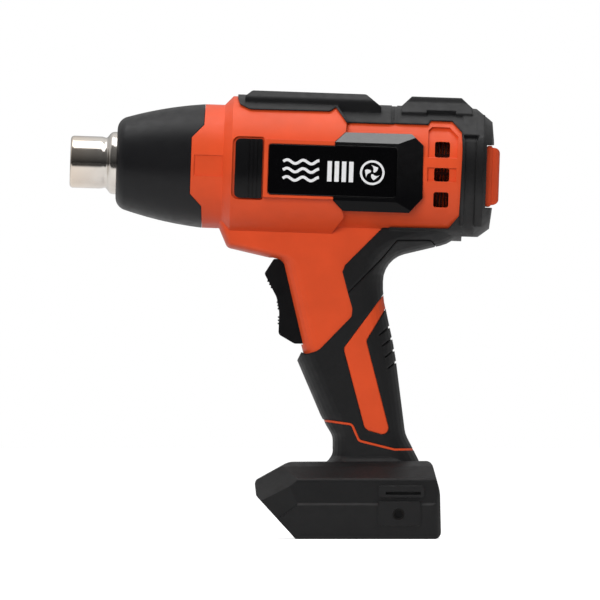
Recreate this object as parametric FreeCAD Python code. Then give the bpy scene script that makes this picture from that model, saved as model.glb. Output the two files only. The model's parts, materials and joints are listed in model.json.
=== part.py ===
import FreeCAD, Part
import math
import os

from FreeCAD import Vector

# Cordless heat gun, body only, in millimetres.
# X runs along the tool with the nozzle towards -X, Z is up, and Y = 0 is the parting plane of
# the two housing halves.  The foot stands on Z = 0.
#
# The barrel is drawn in a frame of its own: u along its axis from the nozzle's mouth, w upwards
# across the axis.  tilted() carries it into the tool's frame, where its nose points 1.9 degrees up.

BARREL_TILT = 1.9
NOZZLE_TIP = Vector(-107.70, 0, 188.4)

WALL = 2.4
RUBBER = 1.0
GAP = 0.25
LINE_HALF = 0.6
FAR = 60.0

# Barrel radii and stations along u.
COLLAR_R = 30.9
FRONT_R = 35.4
REAR_R = 32.4
CAVITY_R = 30.5
SPIGOT_R = 27.6
SHROUD_FACE_U = 23.7
SHROUD_REAR_U = 67.2
HOUSING_REAR_U = 206.0

# Side features of the barrel, as distances from its axis.
PEDESTAL_Y = 36.0
PLATE_SEAT_Y = 34.6
PLATE_FACE_Y = 36.2
FRAME_FACE_Y = 36.4
SLIDER_SEAT_R = 33.2

# Handle and battery foot.
HANDLE_HALF = 15.5
HANDLE_EDGE = 10.0
FOOT_HALF = 37.2
FOOT_BOSS_Y = 38.0
FOOT_ROOM_Z = 19.5
BATTERY_SLOT_Z = 17.0
BATTERY_LIP_Z = 5.5
BATTERY_SLOT_HALF = 25.5
BATTERY_MOUTH_HALF = 21.5

# Air path.
NOZZLE_BORE_R = 12.0
TUBE_R = 20.4
DUCT_R = 30.5
DUCT_WALL = 1.4
MOTOR_R = 17.8
SHAFT_R = 1.6
BUSH_CLEARANCE = 0.05

# Trigger.
TRIGGER_HALF = 9.7
SWITCH_FACE_X = 22.0
SPRING_SEAT_X = 0.0
PLUNGER_Z = 118.0

# Screws: places in the tool's frame as (x, z).
SCREW_SEAT_Y = 6.0
SCREW_END_Y = -10.0
KEEL_SCREW = (-20.0, 151.5)
WEB_SCREW = (76.0, 154.0)
HANDLE_SCREWS = [(41.0, 122.0), (48.8, 84.0), (28.5, 65.0)]
FOOT_SCREWS = [(0.0, 27.5), (66.5, 31.0)]
TOP_SCREW_UW = (100.0, 25.5)
HOOK_INSERT = (56.8, 12.4)
HOOK_INSERT_R = 3.0

# Side outlines.  A third number rounds the corner to that radius.
HANDLE_OUTLINE = [
    (-45.4, 185), (-28.7, 145.3, 3), (-1.6, 138.9, 4), (8.9, 94.2, 12), (19.6, 60.3, 30),
    (25.0, 51.5, 9), (25.0, 42.0, 6), (10.3, 20), (66.2, 20), (66.2, 38.5, 3), (59.3, 52, 14),
    (54.1, 93.3, 90), (48.2, 121, 30), (48.2, 140.3, 15), (80.5, 147.9, 14), (94, 157), (94, 185),
]
# Share of the full edge rounding along each side of that outline: the keel's edges are crisp.
HANDLE_SOFTNESS = [0.35] * 2 + [0.8] * 6 + [1.0] * 5 + [0.8] * 4
GRIP_KNUCKLE = (6.3, 91.5, 12)
GRIP_LINE = [
    (-40, 62.5), (19.9, 58.9), (33.6, 57.1, 2.5), (37.2, 48.9, 2.5), (55.0, 44.5, 6),
    (64.0, 44.6), (110, 50),
]
ORANGE_EDGE = [
    (-12, 62), (5.5, 88.0), (8.2, 93.4), (11, 92.4, 4), (16.8, 94.2, 9), (33.2, 111.0, 2.5),
    (33.6, 114.8, 5),
]
SEAM_LINE = [
    (31.4, 122.4), (48.9, 140.2), (56.2, 149.0, 2), (73.0, 149.0, 3), (75.3, 146.6), (76.0, 138),
]
STRIPE = [
    (60, 136.0), (48.9, 121.0), (29.6, 95.0, 3), (40.3, 54.6, 4), (52.9, 50.9, 3),
    (40.6, 98.9, 3), (50.5, 115.2), (60, 130.6),
]
FRONT_REGION = [
    (50, -50), (132.5, -50), (132.5, -31.4), (138.1, -23.6), (137.5, -20.4), (132.4, -15.3),
    (132.4, 14.0), (137.7, 19.0), (138.1, 23.6), (132.5, 31.4), (132.5, 50), (50, 50),
]
VENT_PANEL = [
    (138, 23.8), (178.9, 23.8), (180, 25.9), (190.5, 25.9), (195.3, 20.6), (195.9, 12.6),
    (195.2, -20.9), (190.2, -27.0), (157.8, -27.4, 2),
]
RAIL_EDGE = [
    (83.4, 60), (83.4, 34.5), (84.5, 31.2, 1.5), (89.6, 28.9, 3), (129.6, 29.2, 1.5), (132.3, 31.4),
    (138.0, 23.8), (161.6, 23.8), (161.6, 60),
]


# ---- Geometry helpers ---------------------------------------------------------------------------

def lifted(point, plane, at):
    """Place a 2-D point on the plane named by its two axes, at a height along the third."""
    a, b = point[0], point[1]
    return {"xz": Vector(a, at, b), "yz": Vector(at, a, b), "xy": Vector(a, b, at)}[plane]


def corner_arc(before, corner, after, radius):
    """Start, middle and end of the arc that rounds a corner."""
    a = (before - corner).normalize()
    b = (after - corner).normalize()
    half = a.getAngle(b) / 2
    reach = radius / math.tan(half)
    bisector = (a + b).normalize()
    centre = corner + bisector * (radius / math.sin(half))
    return corner + a * reach, centre - bisector * radius, corner + b * reach


def closed_wire(points, plane, at):
    corners = [lifted(point, plane, at) for point in points]
    stops = []
    for i, point in enumerate(points):
        if len(point) > 2 and point[2] > 0:
            following = corners[(i + 1) % len(corners)]
            stops.append(corner_arc(corners[i - 1], corners[i], following, point[2]))
        else:
            stops.append((corners[i], None, corners[i]))
    edges = []
    for i, (start, middle, end) in enumerate(stops):
        if middle is not None:
            edges.append(Part.Arc(start, middle, end).toShape())
        following = stops[(i + 1) % len(stops)][0]
        if (following - end).Length > 1e-6:
            edges.append(Part.LineSegment(end, following).toShape())
    return Part.Wire(edges)


def prism(points, low, high, plane="xz"):
    """Extrude a closed outline between two heights along the third axis."""
    step = {"xz": Vector(0, 1, 0), "yz": Vector(1, 0, 0), "xy": Vector(0, 0, 1)}[plane]
    return Part.Face(closed_wire(points, plane, low)).extrude(step * (high - low))


def box(x, y, z):
    """Box from three (low, high) ranges."""
    size = [x[1] - x[0], y[1] - y[0], z[1] - z[0]]
    return Part.makeBox(*size, Vector(x[0], y[0], z[0]))


def rectangle(a, b, radius=0):
    return [(a[0], b[0], radius), (a[1], b[0], radius), (a[1], b[1], radius), (a[0], b[1], radius)]


def turned(profile):
    """Revolve a closed (u, r) polygon about the barrel's axis."""
    face = Part.Face(Part.makePolygon([Vector(u, 0, r) for u, r in profile + profile[:1]]))
    return face.revolve(Vector(0, 0, 0), Vector(1, 0, 0), 360)


def tube(u, outer, inner=0.0):
    ring = Part.makeCylinder(outer, u[1] - u[0], Vector(u[0], 0, 0), Vector(1, 0, 0))
    if inner:
        ring = ring.cut(Part.makeCylinder(inner, u[1] - u[0], Vector(u[0], 0, 0), Vector(1, 0, 0)))
    return ring


def cross_rod(radius, place, y):
    """Cylinder across the tool at an (x, z) place, between two y values."""
    return Part.makeCylinder(radius, y[1] - y[0], Vector(place[0], y[0], place[1]), Vector(0, 1, 0))


def tilted(shape):
    """Carry a shape from the barrel's frame into the tool's frame."""
    moved = shape.copy()
    moved.rotate(Vector(0, 0, 0), Vector(0, 1, 0), BARREL_TILT)
    moved.translate(NOZZLE_TIP)
    return moved


def tilted_point(u, w):
    """(x, z) in the tool's frame of a barrel point."""
    angle = math.radians(BARREL_TILT)
    x = NOZZLE_TIP.x + u * math.cos(angle) + w * math.sin(angle)
    z = NOZZLE_TIP.z - u * math.sin(angle) + w * math.cos(angle)
    return (x, z)


def mirrored(shape):
    return shape.mirror(Vector(0, 0, 0), Vector(0, 1, 0))


def both_sides(shape):
    return Part.makeCompound([shape, mirrored(shape)])


def joined(shapes):
    first = shapes[0]
    return first.fuse(shapes[1:]).removeSplitter()


def left_half(shape):
    return shape.common(box((-200, 200), (-FAR, 0), (-50, 300)))


def right_half(shape):
    return shape.common(box((-200, 200), (0, FAR), (-50, 300)))


def is_counter_clockwise(points):
    pairs = zip(points, points[1:] + points[:1])
    return sum(p[0] * q[1] - q[0] * p[1] for p, q in pairs) > 0


def grown(points, growth):
    """Outline moved outwards, with its corner radii moved to suit.

    The growth is one number, or a list with one number for the side that starts at each point.
    """
    growths = growth if isinstance(growth, list) else [growth] * len(points)
    turn = 1 if is_counter_clockwise(points) else -1
    lines = []
    for start, end, shift in zip(points, points[1:] + points[:1], growths):
        length = math.hypot(end[0] - start[0], end[1] - start[1])
        dx, dz = (end[0] - start[0]) / length, (end[1] - start[1]) / length
        lines.append((start[0] + turn * dz * shift, start[1] - turn * dx * shift, dx, dz))
    moved = []
    for i, point in enumerate(points):
        ax, az, adx, adz = lines[i - 1]
        bx, bz, bdx, bdz = lines[i]
        cross = adx * bdz - adz * bdx
        along = ((bx - ax) * bdz - (bz - az) * bdx) / cross
        radius = point[2] if len(point) > 2 else 0
        if radius:
            outward = (growths[i - 1] + growths[i]) / 2 * math.copysign(1, cross * turn)
            radius = max(radius + outward, 0.4)
        moved.append((ax + adx * along, az + adz * along, radius))
    return moved


def flattened(points, step=15.0):
    """Outline as plain points, its round corners divided into equal turns."""
    plain = []
    for i, point in enumerate(points):
        if len(point) < 3 or not point[2]:
            plain.append((point[0], point[1]))
            continue
        corner = Vector(point[0], point[1], 0)
        before = Vector(*points[i - 1][:2], 0)
        after = Vector(*points[(i + 1) % len(points)][:2], 0)
        start, _, end = corner_arc(before, corner, after, point[2])
        a = (before - corner).normalize()
        b = (after - corner).normalize()
        half = a.getAngle(b) / 2
        centre = corner + (a + b).normalize() * (point[2] / math.sin(half))
        turn = math.pi - 2 * half
        count = max(1, math.ceil(math.degrees(turn) / step))
        sense = 1 if (start - centre).cross(end - centre).z > 0 else -1
        first = math.atan2(start.y - centre.y, start.x - centre.x)
        for k in range(count + 1):
            angle = first + sense * turn * k / count
            plain.append((centre.x + point[2] * math.cos(angle), centre.y + point[2] * math.sin(angle)))
    return plain


def stacked(loops):
    """Closed solid through matching loops of points, with a flat cap at each end."""
    faces = [Part.Face(Part.makePolygon(loop + loop[:1])) for loop in (loops[0], loops[-1])]
    for lower, upper in zip(loops, loops[1:]):
        for i in range(len(lower)):
            k = (i + 1) % len(lower)
            faces.append(Part.Face(Part.makePolygon([lower[i], lower[k], upper[k], upper[i], lower[i]])))
    shell = Part.makeCompound(faces)
    shell.sewShape()
    solid = Part.Solid(Part.Shell(shell.Faces))
    if solid.Volume < 0:
        solid.reverse()
    return solid


def rounded_slab(points, softness, half, edge, steps=6):
    """Slab between y = -half and half whose rims are rounded to the edge radius.

    Softness is the share of that radius along each side of the outline.
    """
    stations = []
    for k in range(steps + 1):
        angle = math.pi / 2 * k / steps
        stations.append((edge * (math.sin(angle) - 1), half - edge * (1 - math.cos(angle))))
    levels = [(shrink, -y) for shrink, y in stations] + [(shrink, y) for shrink, y in stations[::-1]]
    loops = []
    for shrink, y in levels:
        outline = grown(points, [shrink * share for share in softness])
        loops.append([Vector(x, y, z) for x, z in flattened(outline)])
    return stacked(loops)


def wire_solid(points, radius, bend=0.45):
    """Round wire along straight runs joined by tangent arcs."""
    nodes = [Vector(*p) for p in points]
    edges = []
    last = nodes[0]
    for before, corner, after in zip(nodes, nodes[1:], nodes[2:]):
        run = min((corner - before).Length, (after - corner).Length)
        half = (before - corner).getAngle(after - corner) / 2
        start, middle, end = corner_arc(before, corner, after, bend * run * math.tan(half))
        edges.append(Part.LineSegment(last, start).toShape())
        edges.append(Part.Arc(start, middle, end).toShape())
        last = end
    edges.append(Part.LineSegment(last, nodes[-1]).toShape())
    section = Part.Wire(Part.Circle(nodes[0], nodes[1] - nodes[0], radius).toShape())
    return Part.Wire(edges).makePipeShell([section], True, False)


def coil(section, radius, pitch, length):
    """Helical wire of a given section about X, starting at the origin's plane."""
    path = Part.makeHelix(pitch, length, radius)
    solid = Part.Wire(path).makePipeShell([section], True, True)
    solid.rotate(Vector(0, 0, 0), Vector(0, 1, 0), 90)
    return solid


def ring_patch(outline, inner, outer, half=FAR):
    """Piece of a barrel ring under a (u, w) outline, on the y < 0 side."""
    low = min(point[0] for point in outline) - 5
    high = max(point[0] for point in outline) + 5
    return tube((low, high), outer, inner).common(prism(outline, -half, 0))


# ---- Envelopes: the outer skins that several pieces share ---------------------------------------

def barrel_envelope(growth=0.0):
    """Barrel of the housing: collar, flare, raised front section and rear section."""
    front = turned([
        (60.9, 0), (60.9, COLLAR_R + growth), (77, COLLAR_R + growth), (81.2, FRONT_R + growth),
        (141, FRONT_R + growth), (141, 0),
    ]).common(prism(grown(FRONT_REGION, growth), -FAR, FAR))
    rear = turned([
        (80, 0), (80, REAR_R + growth), (196, REAR_R + growth), (204, 27 + growth),
        (HOUSING_REAR_U, 20 + growth), (HOUSING_REAR_U, 0),
    ])
    return tilted(front.fuse(rear))


def handle_slab(growth=0.0, outline=None):
    return rounded_slab(
        grown(outline or HANDLE_OUTLINE, growth), HANDLE_SOFTNESS,
        HANDLE_HALF + growth, HANDLE_EDGE + growth,
    )


def below_grip_line(growth=0.0):
    """Everything under the stepped line where the grip meets the battery foot."""
    return prism(grown(GRIP_LINE + [(110, -30), (-40, -30)], growth), -FAR, FAR)


def housing_cavity():
    bore = tilted(turned([
        (50, 0), (50, 25.6), (62, 25.6), (64.8, 28.4), (78, 28.4), (82, CAVITY_R),
        (178.3, CAVITY_R), (179.3, 29.6), (194, 29.6), (200.5, 24.4), (203, 24.4), (203, 0),
    ]))
    return bore.fuse(handle_slab(-WALL))


# ---- Screws and their bosses --------------------------------------------------------------------

def housing_screw_places():
    return [KEEL_SCREW, WEB_SCREW, tilted_point(*TOP_SCREW_UW)] + HANDLE_SCREWS


def left_bosses(places):
    return [cross_rod(3.6, place, (-FAR, 0)) for place in places]


def right_bosses(places):
    return [cross_rod(5.0, place, (0, FAR)) for place in places]


def left_holes(places):
    return [cross_rod(1.6, place, (SCREW_END_Y - 1, 1)) for place in places]


def right_holes(places):
    holes = [cross_rod(1.8, place, (-1, SCREW_SEAT_Y + 1)) for place in places]
    return holes + [cross_rod(3.4, place, (SCREW_SEAT_Y, FAR)) for place in places]


def housing_screw(place):
    """Pan-head screw with a cross recess, driven from the right side."""
    shank = cross_rod(1.5, place, (SCREW_END_Y, SCREW_SEAT_Y + 0.5))
    head = cross_rod(3.1, place, (SCREW_SEAT_Y, SCREW_SEAT_Y + 2.3))
    x, z = place
    top = SCREW_SEAT_Y + 2.3
    recess = box((x - 1.7, x + 1.7), (top - 1.2, top + 1), (z - 0.4, z + 0.4))
    recess = recess.fuse(box((x - 0.4, x + 0.4), (top - 1.2, top + 1), (z - 1.7, z + 1.7)))
    return shank.fuse(head).cut(recess).removeSplitter()


def make_housing_screws():
    places = housing_screw_places() + FOOT_SCREWS
    return Part.makeCompound([housing_screw(place) for place in places])


# ---- Housing ------------------------------------------------------------------------------------

def vent_cuts():
    """Sunk panel, its three windows and the two bars left standing between them."""
    upper = [(179, 7.8), (179, 21.2), (180.8, 23), (189.4, 23), (193.9, 18.4), (193.6, 7.8)]
    middle = rectangle((179, 193.4), (-4.1, 2.7))
    cuts = [ring_patch(outline, 30.8, 45) for outline in (upper, middle)]
    heights = [(7.9, 15.7), (-4.0, 2.6), (-16.9, -9.4)]
    cuts += [prism(rectangle((182.4, 189.9), w, 1.2), -FAR, -15) for w in heights]
    return tilted(Part.makeCompound(cuts))


def slider_cuts():
    """Seat of the mode slider and the slot that its stem passes through, left side only."""
    outline = [(81.6, -16.2, 3.5), (97.3, -16.2, 1.2), (97.3, 15.2, 1.2), (81.6, 15.2, 3.5)]
    seat = ring_patch(outline, SLIDER_SEAT_R, 45)
    stem_slot = box((85.2, 93.2), (-40, -28), (-2.6, 2.6))
    return tilted(seat.fuse(stem_slot))


def intake_divider():
    """Web on the parting plane that keeps the two sides' intake windows apart."""
    return tilted(box((180.5, 203.5), (-1.6, 0), (-29.8, 29.8)))


def slider_mounts():
    """Two ribs inside the left half that carry the mode switch."""
    ribs = [box(u, (-32, -27), (-5, 5)) for u in ((79.8, 82.0), (98.0, 100.2))]
    return [tilted(rib) for rib in ribs]


def trigger_slot():
    outline = [(-13, 140.3), (7, 140.3), (17.5, 96.9), (-13, 96.9)]
    return prism(outline, -TRIGGER_HALF - 0.3, TRIGGER_HALF + 0.3)


def handle_inlays():
    """Line under the grip and slanted stripe, which stand up from the handle's core through the skin."""
    regions = [below_grip_line(LINE_HALF - 0.1), prism(STRIPE, -FAR, FAR)]
    raised = handle_slab(RUBBER - 0.1)
    return [raised.common(region) for region in regions]


def housing_body():
    """Both halves of the orange housing as one hollow body, before it is split."""
    body = barrel_envelope().fuse(handle_slab())
    pedestal = box((97.3, 134), (-PEDESTAL_Y, PEDESTAL_Y), (-14.8, 14.3))
    pedestal = pedestal.common(prism(FRONT_REGION, -FAR, FAR))
    spigot = tube((56.5, 64), SPIGOT_R)
    body = body.fuse([tilted(pedestal), tilted(spigot)] + handle_inlays())
    under_shroud = tube((50, 68), 45, SPIGOT_R).common(prism(grown(shroud_region(), 0.15), -FAR, FAR))
    seat = prism(rectangle((99.4, 134), (-13.5, 12.2), 1.8), -FAR, -PLATE_SEAT_Y)
    side_flat = box((62.6, 77), (-FAR, -29.7), (-5.2, 5.2))
    tail_flat = box((196.9, 210), (-FAR, FAR), (-FAR, -30.2))
    cuts = [under_shroud, both_sides(seat), both_sides(side_flat), tail_flat]
    body = body.cut([tilted(cut) for cut in cuts])
    body = body.cut([housing_cavity(), trigger_slot(), vent_cuts(), mirrored(vent_cuts())])
    pad_hole = tilted(tube((200, 210), 4.1))
    return body.cut([pad_hole, below_grip_line(-LINE_HALF)])


def make_housing_left(body):
    solid = housing_cavity().fuse(body)
    places = housing_screw_places()
    half = left_half(body)
    bosses = [left_half(boss.common(solid)) for boss in left_bosses(places)]
    ribs = [rib.common(solid) for rib in slider_mounts() + [intake_divider()]]
    half = half.fuse(bosses + ribs).cut(left_holes(places) + [slider_cuts()])
    return half.removeSplitter()


def make_housing_right(body):
    solid = housing_cavity().fuse(body)
    places = housing_screw_places()
    bosses = [right_half(boss.common(solid)) for boss in right_bosses(places)]
    return right_half(body).fuse(bosses).cut(right_holes(places)).removeSplitter()


# ---- Overmoulded rubber -------------------------------------------------------------------------

def make_top_rail():
    """Soft rail over the top of the barrel with a raised ridge along it."""
    ridge = prism([
        (86.9, 20), (87.1, 35.7, 1.5), (90.5, 38.5, 2.5), (147.3, 38.4, 2.5), (155.0, 32.4, 1),
        (155.0, 20),
    ], -FAR, FAR)
    section = prism([
        (-16.6, 10), (-16.6, 35.2, 3.2), (-12.6, 38.6, 3.6), (12.6, 38.6, 3.6), (16.6, 35.2, 3.2),
        (16.6, 10),
    ], 80, 160, "yz")
    skin = barrel_envelope(RUBBER).common(tilted(prism(RAIL_EDGE, -FAR, FAR)))
    rail = skin.fuse(tilted(ridge.common(section)))
    groove = tube((160.3, 163.0), 45, 33.0).common(box((150, 170), (-FAR, FAR), (0, FAR)))
    return rail.cut([barrel_envelope(), tilted(groove)]).removeSplitter()


def bumper_region(seam_gap):
    """Side view of the rear overmould: all that lies behind the orange housing's boundary.

    It meets the top rail without a gap, and stops short of the seam with the grip by a given gap.
    """
    top = [tilted_point(161.6, 60), tilted_point(161.6, 23.8)]
    boundary = [tilted_point(*point[:2]) for point in VENT_PANEL[1:]]
    upper = top + boundary + [(30.0, 136.8), (28.6, 133.3)]
    points = upper + SEAM_LINE + [(125, 138), (125, 235)]
    growth = [0] + [-GAP] * (len(upper) - 1) + [-seam_gap] * len(SEAM_LINE) + [0, 0]
    return prism(grown(points, growth), -FAR, FAR)


def bumper_block():
    """Raised block on top of the rear overmould, with its stepped flanks."""
    side = prism([
        (165.2, 24), (165.2, 33.2), (170.2, 38.1, 1), (195.0, 38.1, 1), (200.6, 33.1), (201, 24),
    ], -FAR, FAR)
    section = prism([
        (-18.2, 20), (-17.6, 30.2), (-11.6, 35.4), (-10.4, 38.1, 0.8), (10.4, 38.1, 0.8),
        (11.6, 35.4), (17.6, 30.2), (18.2, 20),
    ], 160, 205, "yz")
    notch = box((177.7, 192.4), (-FAR, -15.8), (20, 31.2))
    return side.common(section).cut([notch, mirrored(notch)])


def bumper_cheek():
    """Proud panel on the flank of the tail with a sloping upper edge, left side."""
    cheek = ring_patch([(196.0, 30), (207.0, 30), (207.0, -26), (196.0, -26)], 32.9, 34.3)
    slope = [(-28.9, 18.5), (-24.7, 22.5), (-10, 36.5), (-FAR, 36.5), (-FAR, 18.5)]
    return cheek.cut(prism(slope, 190, 215, "yz"))


def bumper_channel():
    """Upright channel in that panel, with a ramp at its top."""
    channel = ring_patch(rectangle((197.6, 203.2), (-40, 16.3)), 32.9, 45)
    ramp = prism([(-26.3, 19.4), (-28.6, 16.3), (-FAR, 16.3), (-FAR, 19.4)], 190, 215, "yz")
    sides = prism([(196.4, 19.4), (204.5, 19.4), (203.2, 16.3), (197.6, 16.3)], -FAR, 0)
    return channel.fuse(ramp.common(sides))


def bumper_body():
    """Rear overmould of both halves as one body, before it is split."""
    shell = turned([
        (161, 0), (161, REAR_R + RUBBER), (198, REAR_R + RUBBER), (202.8, 33.0), (210.9, 26.7),
        (212.0, 17), (212.1, 0),
    ])
    underside = box((197.2, 215), (-FAR, FAR), (-FAR, -31.0))
    cheek = bumper_cheek()
    barrel = shell.cut(underside).fuse([bumper_block(), cheek, mirrored(cheek)])
    barrel = barrel.common(box((150, 212.1), (-FAR, FAR), (-FAR, FAR)))
    body = tilted(barrel).fuse(handle_slab(RUBBER))
    body = body.cut([barrel_envelope(), handle_slab()]).common(bumper_region(GAP))
    seam_floor = handle_slab(RUBBER / 2).cut([barrel_envelope(), handle_slab()])
    seam_floor = seam_floor.common(bumper_region(-GAP))
    channel = bumper_channel()
    pad_slot = box((208.4, 220), (-FAR, FAR), (-16.2, 15.2))
    groove = tube((160.3, 163.0), 45, 33.0).common(box((150, 170), (-FAR, FAR), (0, FAR)))
    cuts = [channel, mirrored(channel), pad_slot, groove, tube((200, 215), 4.1)]
    return body.fuse(seam_floor).cut([tilted(cut) for cut in cuts])


def grip_grooves():
    """Short slanted finger grooves across the back edge of the grip."""
    cuts = []
    for k in range(4):
        x, z = 47.2 + 1.4 * k, 105.5 - 5.6 * k
        outline = [(x, z - 4.4), (x + 9, z + 2.6), (x + 9, z + 4.0), (x, z - 3.4)]
        cuts.append(prism(outline, -FAR, FAR))
    cover = handle_slab(RUBBER - 0.75)
    return [cut.cut(cover) for cut in cuts]


def grip_body():
    knuckle = [GRIP_KNUCKLE if point[:2] == (8.9, 94.2) else point for point in HANDLE_OUTLINE]
    outline = ORANGE_EDGE + SEAM_LINE + [(110, 138), (110, 30), (-12, 30)]
    region = prism(grown(outline, -GAP), -FAR, FAR)
    skin = handle_slab(RUBBER, knuckle).common(region)
    skin = skin.cut([handle_slab(), barrel_envelope(), below_grip_line(LINE_HALF)])
    stripe = prism(grown(STRIPE, GAP), -FAR, FAR)
    return skin.cut([stripe] + grip_grooves())


def make_left_skin(body):
    return largest_solids(left_half(body), 5)


def make_right_skin(body):
    holes = right_holes(housing_screw_places())
    return largest_solids(right_half(body).cut(holes), 5)


def largest_solids(shape, smallest_volume):
    """Drop the slivers that a cut leaves behind."""
    kept = [solid for solid in shape.Solids if solid.Volume > smallest_volume]
    return kept[0] if len(kept) == 1 else Part.makeCompound(kept)


# ---- Front shroud and nozzle --------------------------------------------------------------------

def shroud_region():
    return [
        (0, -50), (SHROUD_REAR_U, -50), (SHROUD_REAR_U, -30.6), (66.7, -20.3), (60.9, -14.3),
        (60.9, 13.9), (66.9, 20.4), (SHROUD_REAR_U, 30.6), (SHROUD_REAR_U, 50), (0, 50),
    ]


def make_front_shroud():
    """Heat-resistant ogive cover that plugs onto the housing's spigot."""
    lip = Vector(SHROUD_FACE_U, 0, 17.2)
    brow = Vector(27.8, 0, 23.1)
    heel = Vector(SHROUD_REAR_U, 0, COLLAR_R)
    corners = [
        (SHROUD_REAR_U, SPIGOT_R), (55.6, SPIGOT_R), (47, 25.9), (46, 25.6), (46, 16.1),
        (44.6, 16.1), (44.6, 24.8), (31, 21.4), (27.4, 18.0), (26.0, 15.9), (SHROUD_FACE_U, 15.9),
    ]
    inner = [Vector(u, 0, r) for u, r in corners]
    edges = [
        Part.Arc(lip, Vector(24.7, 0, 20.5), brow).toShape(),
        Part.Arc(brow, Vector(47.0, 0, 28.0), heel).toShape(),
        Part.makePolygon([heel] + inner + [lip]),
    ]
    wire = Part.Wire([edge for group in edges for edge in group.Edges])
    shroud = Part.Face(wire).revolve(Vector(0, 0, 0), Vector(1, 0, 0), 360)
    return tilted(shroud.common(prism(shroud_region(), -FAR, FAR)))


def make_nozzle():
    """Drawn steel nozzle: plain mouth, a pinch, then a wider sleeve with a mounting flange."""
    mouth, sleeve = 13.0, 15.6
    profile = [
        (0.6, 12.4), (1.0, 12.85), (1.8, mouth), (16.6, mouth), (17.7, 12.7), (18.7, 13.2),
        (19.6, 14.6), (20.4, 15.35), (21.4, sleeve), (46.0, sleeve), (46.0, 20.4), (47.0, 20.4),
        (47.0, 14.6), (21.4, 14.6), (20.2, 13.9), (18.6, NOZZLE_BORE_R), (1.0, NOZZLE_BORE_R),
        (0.6, 12.2),
    ]
    return tilted(turned(profile))


# ---- Battery foot -------------------------------------------------------------------------------

def foot_block():
    side = prism([
        (5.5, 0, 1), (78.1, 0, 3.4), (77.5, 23.7, 20), (73.4, 38.6, 3.5), (2.0, 38.2, 10),
        (-15.0, 28.8, 2.5), (-14.2, 21.6, 2),
    ], -FAR, FAR)
    h = FOOT_HALF
    section = prism([
        (-h, 0, 1), (-h, 16.8), (1.2 - h, 18.0), (2.2 - h, 29.8, 3), (-24, 36.2, 6), (-18, 38.8),
        (18, 38.8), (24, 36.2, 6), (h - 2.2, 29.8, 3), (h - 1.2, 18.0), (h, 16.8), (h, 0, 1),
    ], -20, 80, "yz")
    tail = prism(rectangle((-30, 78.2), (-h, h), 6), -1, 45, "xy")
    nose_cuts = foot_nose_cuts()
    return side.common([section]).common(tail).cut(nose_cuts + [mirrored(cut) for cut in nose_cuts])


def beyond(point, normal, reach=80):
    """Everything on the outer side of a plane, given a point on it and its outward normal."""
    slab = Part.makeBox(2 * reach, 2 * reach, reach)
    centring = FreeCAD.Placement(Vector(-reach, -reach, 0), FreeCAD.Rotation())
    slab.Placement = FreeCAD.Placement(point, FreeCAD.Rotation(Vector(0, 0, 1), normal)).multiply(centring)
    return slab


def foot_nose_cuts():
    """Left side of the nose: its wall tapers above a slanting line, and a plane takes the corner off."""
    above_line = prism([(6.35, 16.9), (-3.1, 9.9), (-20, -2.6), (-20, 45), (6.35, 45)], -FAR, 0)
    taper = beyond(Vector(6.35, -36, 0), Vector(-0.18, -0.98, 0)).common(above_line)
    corner = beyond(Vector(-9.35, -33.2, 20.05), Vector(-0.434, -0.666, 0.605))
    return [taper, corner]


def flare_share(z, base, rise):
    """How far a concave quarter-round flare still stands out at a height, from 1 down to 0."""
    climbed = min(max((z - base) / rise, 0.0), 1.0)
    return 1 - math.sqrt(1 - (1 - climbed) ** 2)


def neck_flare():
    """Concave flare that carries the handle's neck out onto the top of the foot."""
    loops = []
    for z in (34, 34.5, 35.2, 36.2, 37.2, 38.4, 40, 42, 44, 46):
        ends = flare_share(z, 36.2, 9)
        half = HANDLE_HALF + 12 * flare_share(z, 34, 12)
        outline = rectangle((25.4 - 13 * ends, 60.4 + 5 * ends), (-half, half), 9)
        loops.append([Vector(x, y, z) for x, y in flattened(outline)])
    return stacked(loops)


def foot_side_details():
    """Raised boss for the hook insert and the raised frame round the belt slot, one side."""
    boss = prism(rectangle((46.5, 67.9), (6.6, 18.8), 1.5), -FOOT_BOSS_Y, -34)
    frame = prism(rectangle((46.7, 69.7), (20.6, 26.6), 1.8), -FOOT_HALF + 0.4, -34)
    return boss.fuse(frame)


def foot_side_cuts():
    insert_seat = cross_rod(HOOK_INSERT_R, HOOK_INSERT, (-FAR, -33))
    slot = box((50.5, 67.8), (-FAR, -33.2), (22.1, 23.6))
    return insert_seat.fuse(slot)


def battery_slot():
    """Slot between the guide lips, open at the front, and the terminal opening above it."""
    half, mouth_half = BATTERY_SLOT_HALF, BATTERY_MOUTH_HALF
    slot = box((-20, 67), (-half, half), (BATTERY_LIP_Z, BATTERY_SLOT_Z))
    mouth = box((-20, 67), (-mouth_half, mouth_half), (-1, BATTERY_LIP_Z))
    terminal = box((44, 64), (-13, 13), (10, FOOT_ROOM_Z))
    return slot.fuse([mouth, terminal])


def foot_cavity():
    """Room above the battery slot, and the slot itself."""
    low_room = box((5, 71.5), (-31, 31), (FOOT_ROOM_Z, 29.3))
    high_room = box((-1, 69.5), (-19, 19), (FOOT_ROOM_Z, 35.0))
    neck = handle_slab(-WALL).common(box((0, 90), (-FAR, FAR), (FOOT_ROOM_Z + 3, 70)))
    return [low_room, high_room, neck, battery_slot()]


def foot_body():
    neck = handle_slab(RUBBER).common(box((0, 90), (-FAR, FAR), (34, 70)))
    under_line = below_grip_line(-LINE_HALF)
    necks = [neck.common(under_line), neck_flare().common(under_line)]
    body = foot_block().fuse(necks + [both_sides(foot_side_details())])
    side_cuts = foot_side_cuts()
    return body.cut(foot_cavity() + [side_cuts, mirrored(side_cuts)])


def board_posts():
    return [
        Part.makeCylinder(2.5, 24 - FOOT_ROOM_Z + 1, Vector(x, y, FOOT_ROOM_Z - 1))
        for x in (12, 34) for y in (-16, 16)
    ]


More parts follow.
